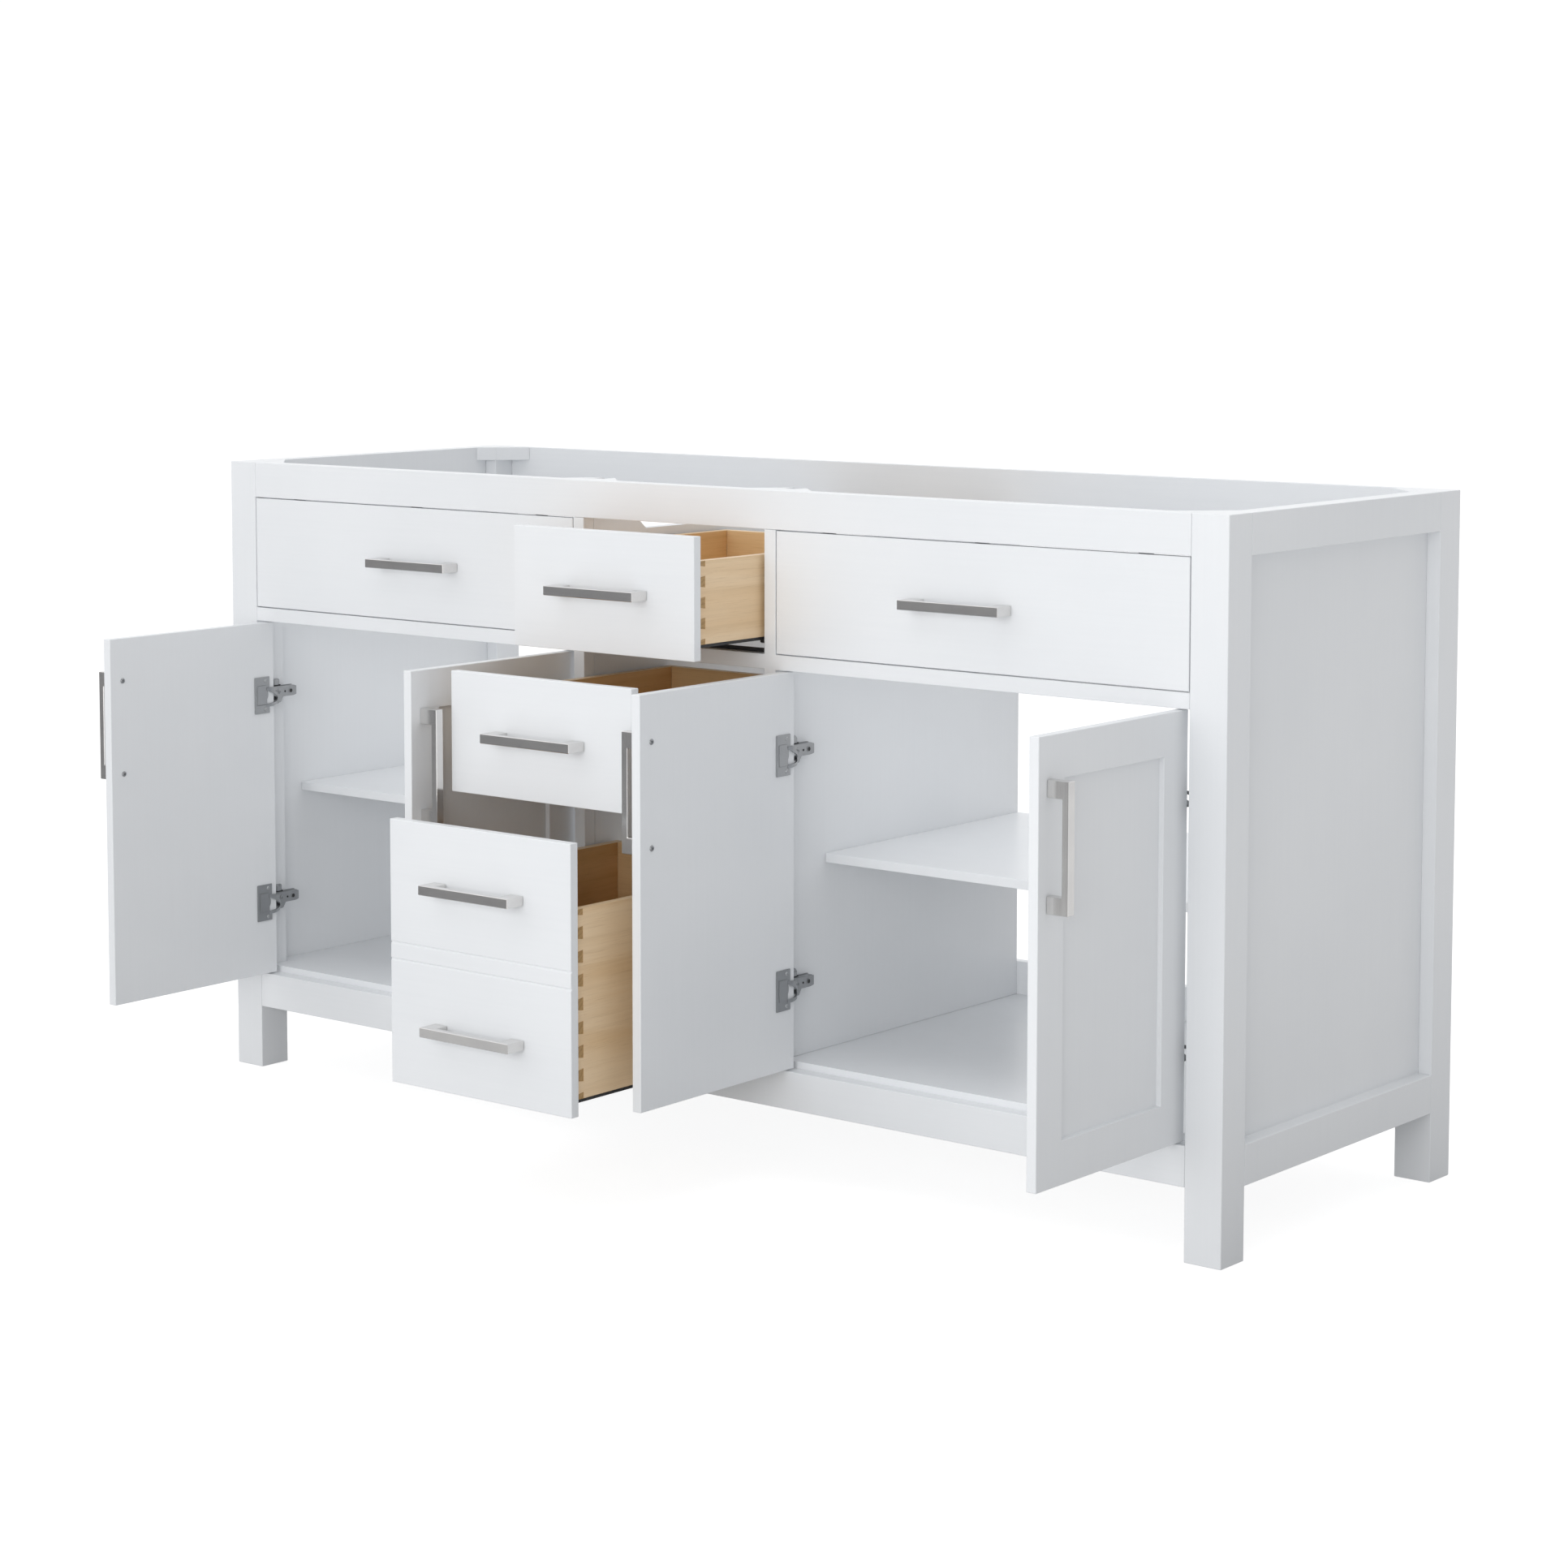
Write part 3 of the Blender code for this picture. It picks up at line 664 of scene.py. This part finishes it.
    # The forked link between them is shaped for the rest swing: two legs leave the plate's edge and meet under
    # the arm.
    k = Build()
    legs = (
        ((6.0, 12.2, 9.0), (29.5, 13.0, 8.0), (11.5, 27.0, 3.5)),
        ((6.0, 12.2, 9.0), (29.0, 15.5, 2.0), (11.5, 25.0, -9.0)),
        ((6.0, 12.2, -15.0), (29.5, 13.0, -14.0), (11.5, 26.0, -8.5)),
    )
    for root, bend, tip in legs:
        first = Vector(swung([v * MM for v in root]))
        last = Vector(fixed([v * MM for v in tip]))
        knee = Vector(fixed([v * MM for v in bend]))
        part = bmesh.new()
        rings = []
        count = 10
        for i in range(count + 1):
            t = i / count
            spot = first * (1 - t) ** 2 + knee * 2 * t * (1 - t) + last * t**2
            ahead = ((knee - first) * (1 - t) + (last - knee) * t).normalized()
            side = ahead.cross(Vector((0, 0, 1))).normalized()
            over = side.cross(ahead).normalized()
            rings.append([part.verts.new(spot + side * u * MM + over * v * MM) for u, v in LEG_SECTION])
        for r0, r1 in zip(rings, rings[1:]):
            for i in range(4):
                part.faces.new((r0[i], r0[(i + 1) % 4], r1[(i + 1) % 4], r1[i]))
        part.faces.new(rings[0])
        part.faces.new(rings[-1][::-1])
        k._merge(part, HINGE_STEEL)
    links = k.done(f"{name}_links", None)
    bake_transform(links)


for door_name in REST:
    for end_name in ("upper", "lower"):
        hinge(door_name, end_name)


# ---------------------------------------------------------------- handle screws, seen on the doors' inner faces
def on_door(door, height):
    """Places points built on the shut door: x from the axis to the free edge, y back, z from height."""
    joint = AXIS[f"door_{door}_body"]
    pivot = Vector(joint["pos_m"])
    s = 1 if joint["axis"][2] < 0 else -1
    turn = Matrix.Rotation(-s * math.radians(REST[door]), 3, "Z")
    base = Vector((pivot.x, pivot.y, height))
    return lambda p: base + turn @ Vector((s * p.x, p.y, 0)) + Vector((0, 0, p.z))


HANDLE_HOLES = (-64 * MM, 64 * MM)
HOLES_FROM_AXIS = 270.25 * MM
DOOR_BACK_FROM_AXIS = 11.0 * MM


def door_screws(door):
    body = f"door_{door}_body"
    lo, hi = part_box(f"handle_door_{door}")
    b = Build(on_door(door, (lo.z + hi.z) / 2))
    for z in HANDLE_HOLES:
        b.screw((HOLES_FROM_AXIS, DOOR_BACK_FROM_AXIS, z), (0, 1, 0), HINGE_STEEL, 0.95, z * 40)
    b.done(f"handle_screws_{door}", body)


for door_name in REST:
    door_screws(door_name)

for side in ("left", "right"):
    lo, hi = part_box(f"false_front_{side}")
    grip_lo, grip_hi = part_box(f"handle_false_front_{side}")
    x = (grip_lo.x + grip_hi.x) / 2
    z = (grip_lo.z + grip_hi.z) / 2
    b = Build()
    for dx in HANDLE_HOLES:
        b.screw((x + dx, hi.y, z), (0, 1, 0), HINGE_STEEL, 0.95, dx * 30)
    b.done(f"handle_screws_false_front_{side}", ROOT)
    # Cranked straps hold the fixed front to the top rail.
    b = Build()
    for at in (lo.x + 70 * MM, (lo.x + hi.x) / 2, hi.x - 70 * MM):
        step = [
            (hi.y + 0.1 * MM, hi.z - 26 * MM),
            (hi.y + 1.8 * MM, hi.z - 26 * MM),
            (hi.y + 1.8 * MM, hi.z - 3 * MM),
            (RAIL_IN + 1.9 * MM, hi.z + 3 * MM),
            (RAIL_IN + 1.9 * MM, hi.z + 26 * MM),
            (RAIL_IN + 0.2 * MM, hi.z + 26 * MM),
            (RAIL_IN + 0.2 * MM, hi.z + 2 * MM),
            (hi.y + 0.1 * MM, hi.z - 4 * MM),
        ]
        b.prism(step, "X", at - 9 * MM, at + 9 * MM, ZINC, 0.3 * MM)
        b.screw((at, hi.y + 1.7 * MM, hi.z - 15 * MM), (0, 1, 0), ZINC, 0.8, at * 9)
        b.screw((at, RAIL_IN + 1.8 * MM, hi.z + 15 * MM), (0, 1, 0), ZINC, 0.8, at * 5)
    b.done(f"false_front_straps_{side}", ROOT)

# ---------------------------------------------------------------- corner blocks under the worktop
BLOCK_T = 19.5 * MM
LEG = 57 * MM
PARTITION_LEG = 42 * MM
C = 0.3 * MM


def corner_block(name, *outlines):
    b = Build()
    for points in outlines:
        b.prism(points, "Z", TOP - BLOCK_T, TOP - 0.2 * MM, LACQUER["X"], 0.4 * MM)
    b.done(name, ROOT)


POST_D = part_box("post_front_left")[1].y
REAR_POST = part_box("post_rear_left")[0].y
for s, side in ((-1, "left"), (1, "right")):
    out, post = SIDE_IN - C, POST_IN - C
    # Each block is two pieces, one before the post's corner and one beside it.
    for where, wall, edge, d in (
        ("rear", REAR_IN - C, REAR_POST - C, -1),
        ("front", RAIL_IN + C, POST_D + C, 1),
    ):
        across = out - (LEG - abs(edge - wall))
        corner_block(
            f"corner_block_{where}_{side}",
            [(s * out, wall + d * LEG), (s * across, edge), (s * out, edge)],
            [(s * across, edge), (s * (out - LEG), wall), (s * post, wall), (s * post, edge)],
        )
    front = RAIL_IN + C
    lo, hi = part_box(f"partition_{side}")
    for where, x, d in (("outer", hi.x if s > 0 else lo.x, s), ("inner", lo.x if s > 0 else hi.x, -s)):
        x += d * C
        corner_block(
            f"corner_block_partition_{side}_{where}",
            [(x, front), (x + d * PARTITION_LEG, front), (x, front + PARTITION_LEG)],
        )

# ---------------------------------------------------------------- shelf supports
for side, s in (("left", -1), ("right", 1)):
    lo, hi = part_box(f"shelf_{side}")
    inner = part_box(f"partition_{side}")[1 if s > 0 else 0].x
    b = Build()
    for y in (lo.y + 110 * MM, hi.y - 70 * MM):
        for x, d in ((inner, s), (s * SIDE_IN, -s)):
            xs = sorted((x + d * 0.1 * MM, x + d * 9 * MM))
            near, far = y - 5 * MM, y + 5 * MM
            b.box((xs[0], near, lo.z - 2.3 * MM), (xs[1], far, lo.z - 0.3 * MM), HINGE_STEEL, 0.4 * MM)
            xs = sorted((x + d * 0.1 * MM, x + d * 1.9 * MM))
            b.box((xs[0], near, lo.z - 13 * MM), (xs[1], far, lo.z - 1.2 * MM), HINGE_STEEL, 0.5 * MM)
            pin = (x + d * 1.8 * MM, y, lo.z - 8 * MM)
            b.rod(pin, "X", 2.4 * MM, -0.4 * MM, 0.9 * MM, HINGE_STEEL, 0.3 * MM)
    b.done(f"shelf_supports_{side}", ROOT)

# ---------------------------------------------------------------- black strip on the drawer rail: painted shade for the dark gap behind the rail
DRAWER_RAIL_TOP = 664 * MM
SHADOW_STRIP_HALF_LENGTH = 148 * MM
b = Build()
# A black box along the rail's top: painted shade where the gap behind the rail looks dark.
b.box(
    (-SHADOW_STRIP_HALF_LENGTH, FRONT + 13.9 * MM, DRAWER_RAIL_TOP + 0.2 * MM),
    (SHADOW_STRIP_HALF_LENGTH, FRONT + 19.6 * MM, DRAWER_RAIL_TOP + 5.0 * MM),
    BLACK_PLASTIC_AND_SHADE,
    0.8 * MM,
)
b.done("drawer_rail_painted_shadow", ROOT)

# ---------------------------------------------------------------- stage, light and camera
scene = bpy.context.scene
scene.view_settings.view_transform = "Standard"
scene.view_settings.look = "None"


CAMERA_FLOOR_Z = -0.0002
BOUNCE_FLOOR_Z = -0.0012
NEAR_PAINTED_SHADOW = 0.40


def stage_floor(name, shade, glow, camera_only):
    """A wide floor seen by the camera alone, or by every other ray; that one has a painted shadow, darker near
    the cabinet.
    """
    mesh = bpy.data.meshes.new(name)
    bm = bmesh.new()
    bmesh.ops.create_circle(bm, cap_ends=True, segments=96, radius=40.0)
    bm.to_mesh(mesh)
    bm.free()
    floor = bpy.data.objects.new(name, mesh)
    floor.location.z = CAMERA_FLOOR_Z if camera_only else BOUNCE_FLOOR_Z
    scene.collection.objects.link(floor)
    m = Nodes(name)
    grain = m.noise(m.stretched((1, 1, 1)), 9.0, 3.0)
    colour = m.ramp(grain, [(0.3, (shade,) * 3), (0.7, (shade + 0.02,) * 3)])
    # Painted shadow: the bounce floor is darkest within 0.9 m of the cabinet's centre, fading out by 2.8 m,
    # which shades the cabinet's low parts.
    if not camera_only:
        away = m.new("VectorMath", operation="LENGTH")
        m.link(m.coords, away.inputs[0])
        falloff = m.range(away.outputs["Value"], 0.0, 1.0, (0.9, 2.8))
        colour = m.mix(falloff, (NEAR_PAINTED_SHADOW,) * 3, colour)
    m.link(colour, m.shader.inputs["Base Color"])
    m.set(Roughness=0.9, Specular_IOR_Level=0.1, Emission_Color=(1.0, 1.0, 1.0, 1.0), Emission_Strength=glow)
    mesh.materials.append(m.mat)
    for ray in ("diffuse", "glossy", "transmission", "volume_scatter", "shadow"):
        setattr(floor, f"visible_{ray}", not camera_only)
    floor.visible_camera = camera_only


# The camera sees a white floor, while light bounces off a separate one: the photo's floor is blown out.
stage_floor("studio_floor", 0.33, 0.84, True)
stage_floor("studio_bounce", 0.74, 0.15, False)


def dark_card():
    """A grey studio card at the left, seen only by gloss: it darkens the handles' left faces."""
    mesh = bpy.data.meshes.new("card")
    bm = bmesh.new()
    bmesh.ops.create_grid(bm, x_segments=6, y_segments=6, size=1.0)
    bmesh.ops.scale(bm, vec=(1.0, 0.6, 1), verts=bm.verts)
    bm.to_mesh(mesh)
    bm.free()
    card = bpy.data.objects.new("studio_card", mesh)
    card.rotation_euler = (math.radians(90), 0, math.radians(-40))
    card.location = (-0.95, -1.40, 0.60)
    for ray in ("camera", "diffuse", "transmission", "volume_scatter", "shadow"):
        setattr(card, f"visible_{ray}", False)
    scene.collection.objects.link(card)
    m = Nodes("studio_card")
    felt = m.noise(m.stretched((1, 1, 1)), 60.0, 3.0)
    colour = m.ramp(felt, [(0.3, (0.33, 0.33, 0.335)), (0.7, (0.38, 0.38, 0.385))])
    m.link(colour, m.shader.inputs["Base Color"])
    m.set(Roughness=0.95)
    mesh.materials.append(m.mat)


dark_card()

world = bpy.data.worlds.new("studio")
scene.world = world
world.use_nodes = True
tree = world.node_tree
back = tree.nodes["Background"]
back.inputs["Color"].default_value = (0.985, 0.99, 1.0, 1.0)
direction = tree.nodes.new("ShaderNodeTexCoord").outputs["Generated"]
dot = tree.nodes.new("ShaderNodeVectorMath")
dot.operation = "DOT_PRODUCT"
dot.inputs[1].default_value = (-0.80, 0.35, 0.20)
tree.links.new(direction, dot.inputs[0])
spread = tree.nodes.new("ShaderNodeMapRange")
for key, value in (("From Min", -0.85), ("From Max", 0.30), ("To Min", 0.20), ("To Max", 1.06)):
    spread.inputs[key].default_value = value
tree.links.new(dot.outputs["Value"], spread.inputs["Value"])
tree.links.new(spread.outputs["Result"], back.inputs["Strength"])


def area(name, place, target, size, power):
    data = bpy.data.lights.new(name, "AREA")
    data.shape = "RECTANGLE"
    data.size, data.size_y = size
    data.energy = power
    light = bpy.data.objects.new(name, data)
    light.location = place
    light.rotation_euler = (Vector(target) - Vector(place)).to_track_quat("-Z", "Y").to_euler()
    scene.collection.objects.link(light)


area("key", (1.5, -4.8, 1.45), (0.1, 0, 0.35), (4.2, 2.3), 92.0)
area("top", (0.4, 0.2, 4.2), (0, 0, 0.4), (3.5, 2.5), 20.0)

AZ, EL, ROLL = math.radians(39.6846), math.radians(5.0784), -0.00098
forward = Vector((-math.sin(AZ) * math.cos(EL), math.cos(AZ) * math.cos(EL), -math.sin(EL)))
flat_right = Vector((math.cos(AZ), math.sin(AZ), 0))
upward = flat_right.cross(forward)
right = flat_right * math.cos(ROLL) + upward * math.sin(ROLL)
up = upward * math.cos(ROLL) - flat_right * math.sin(ROLL)
camera_data = bpy.data.cameras.new("camera")
camera_data.lens = 80.757
camera_data.sensor_width = 36.0
camera_data.shift_x = 0.04207
camera_data.shift_y = -0.13936
camera = bpy.data.objects.new("camera", camera_data)
aim = Matrix((right, up, -forward)).transposed().to_4x4()
camera.matrix_world = Matrix.Translation((2.90538, FRONT - 3.40921, 1.16473)) @ aim
scene.collection.objects.link(camera)
scene.camera = camera
